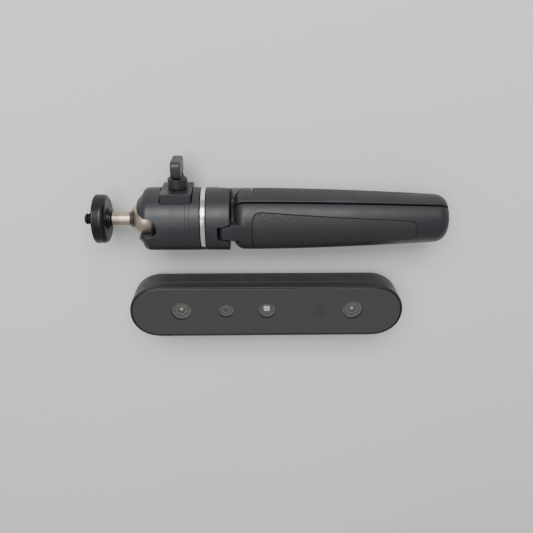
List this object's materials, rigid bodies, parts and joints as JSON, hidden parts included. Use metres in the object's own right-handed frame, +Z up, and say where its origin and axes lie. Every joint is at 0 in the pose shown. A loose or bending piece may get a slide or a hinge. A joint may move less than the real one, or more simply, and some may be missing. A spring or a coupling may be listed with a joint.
{
  "type": "handheld 3d scanner",
  "caption": "Bar-shaped handheld 3-D scanner lying face up, tinted glass over its cameras and projector, beside the folding mini tripod grip that screws into its underside.",
  "frame": {"origin": "on the resting surface, at the middle of the box round the scanner and its grip", "axes": "+X along both pieces, towards the grip's leg tips; +Y from the scanner to the grip; +Z up, the way the scanner's glass face looks"},
  "size_m": [0.1954, 0.1026, 0.0347],
  "materials": {
    "casing": "dark anodised, fine blasted grain",
    "tinted_glass": "dark tinted, polished",
    "lens_glass": "coated, polished",
    "module_plastic": "matte black",
    "grip_plastic": "satin black, fine spark texture",
    "grip_rubber": "leather-grained, matte",
    "champagne_metal": "turned, champagne anodised",
    "black_metal": "turned, black anodised",
    "bright_ring": "polished",
    "steel": "turned",
    "brass": "turned",
    "bare_aluminium": "milled",
    "circuit_board": "solder mask",
    "button_rubber": "soft touch",
    "indicator": "milky, clear"
  },
  "bodies": {
    "scanner": {"rear_cover": "casing", "front_frame": "casing", "front_glass": "tinted_glass", "optics_bracket": "bare_aluminium", "main_board": "circuit_board", "heat_spreader": "bare_aluminium", "left_camera": "module_plastic", "left_camera_lens": "lens_glass", "colour_camera": "module_plastic", "colour_camera_lens": "lens_glass", "projector": "module_plastic", "projector_lens": "lens_glass", "right_camera": "module_plastic", "right_camera_lens": "lens_glass", "fill_light": "bare_aluminium", "usb_port": "steel", "button_switch": "steel", "status_light": "indicator", "tripod_socket": "brass", "cover_screw_1": "steel", "cover_screw_2": "steel", "cover_screw_3": "steel", "cover_screw_4": "steel"},
    "button": {"scan_button": "button_rubber"},
    "head": {"housing_shell": "grip_plastic", "ball_collar": "grip_plastic", "accent_ring": "bright_ring", "seat_cup": "black_metal"},
    "knob": {"lock_knob": "grip_plastic", "knob_screw": "steel"},
    "ball": {"ball": "champagne_metal"},
    "stem": {"ball_stem": "champagne_metal"},
    "plate": {"mounting_plate": "black_metal", "plate_pad": "button_rubber", "camera_screw": "black_metal"},
    "base": {"leg_base": "grip_plastic", "pan_bolt": "steel", "hinge_pin_1": "steel", "hinge_pin_2": "steel", "hinge_pin_3": "steel"},
    "leg_1": {"leg_shell_1": "grip_plastic", "leg_pad_1": "grip_rubber", "leg_foot_1": "button_rubber"},
    "leg_2": {"leg_shell_2": "grip_plastic", "leg_pad_2": "grip_rubber", "leg_foot_2": "button_rubber"},
    "leg_3": {"leg_shell_3": "grip_plastic", "leg_pad_3": "grip_rubber", "leg_foot_3": "button_rubber"}
  },
  "joints": [
    {"name": "button_press", "type": "slide", "parent": "scanner", "child": "button", "axis": [0, 0, 1], "range_m": [0, 0.0005], "stiffness_N_per_m": 600, "springref_m": -0.0004},
    {"name": "grip_lift", "type": "slide", "parent": "scanner", "child": "head", "axis": [0, 0, 1], "range_m": [0, 0.11]},
    {"name": "knob_turn", "type": "hinge", "parent": "head", "child": "knob", "pos_m": [-0.047, 0.0431, 0.0174], "axis": [0, 1, 0], "range_deg": [0, 270]},
    {"name": "ball_swing", "type": "hinge", "parent": "head", "child": "ball", "pos_m": [-0.0638, 0.0181, 0.0174], "axis": [0, 0, 1], "range_deg": [-20, 20]},
    {"name": "stem_tilt", "type": "hinge", "parent": "ball", "child": "stem", "pos_m": [-0.0638, 0.0181, 0.0174], "axis": [0, 1, 0], "range_deg": [-20, 90]},
    {"name": "plate_spin", "type": "hinge", "parent": "stem", "child": "plate", "pos_m": [-0.088, 0.0181, 0.0174], "axis": [-1, 0, 0], "continuous": true},
    {"name": "leg_pan", "type": "hinge", "parent": "head", "child": "base", "pos_m": [-0.03, 0.0181, 0.0174], "axis": [1, 0, 0], "continuous": true},
    {"name": "leg_1_fold", "type": "hinge", "parent": "base", "child": "leg_1", "pos_m": [-0.0216, 0.01588, 0.03001], "axis": [0, -0.9848, -0.1736], "range_deg": [0, 55]},
    {"name": "leg_2_fold", "type": "hinge", "parent": "base", "child": "leg_2", "pos_m": [-0.0216, 0.03013, 0.01302], "axis": [0, 0.342, 0.9397], "range_deg": [0, 55]},
    {"name": "leg_3_fold", "type": "hinge", "parent": "base", "child": "leg_3", "pos_m": [-0.0216, 0.00829, 0.00917], "axis": [0, 0.6428, -0.766], "range_deg": [0, 55]}
  ]
}
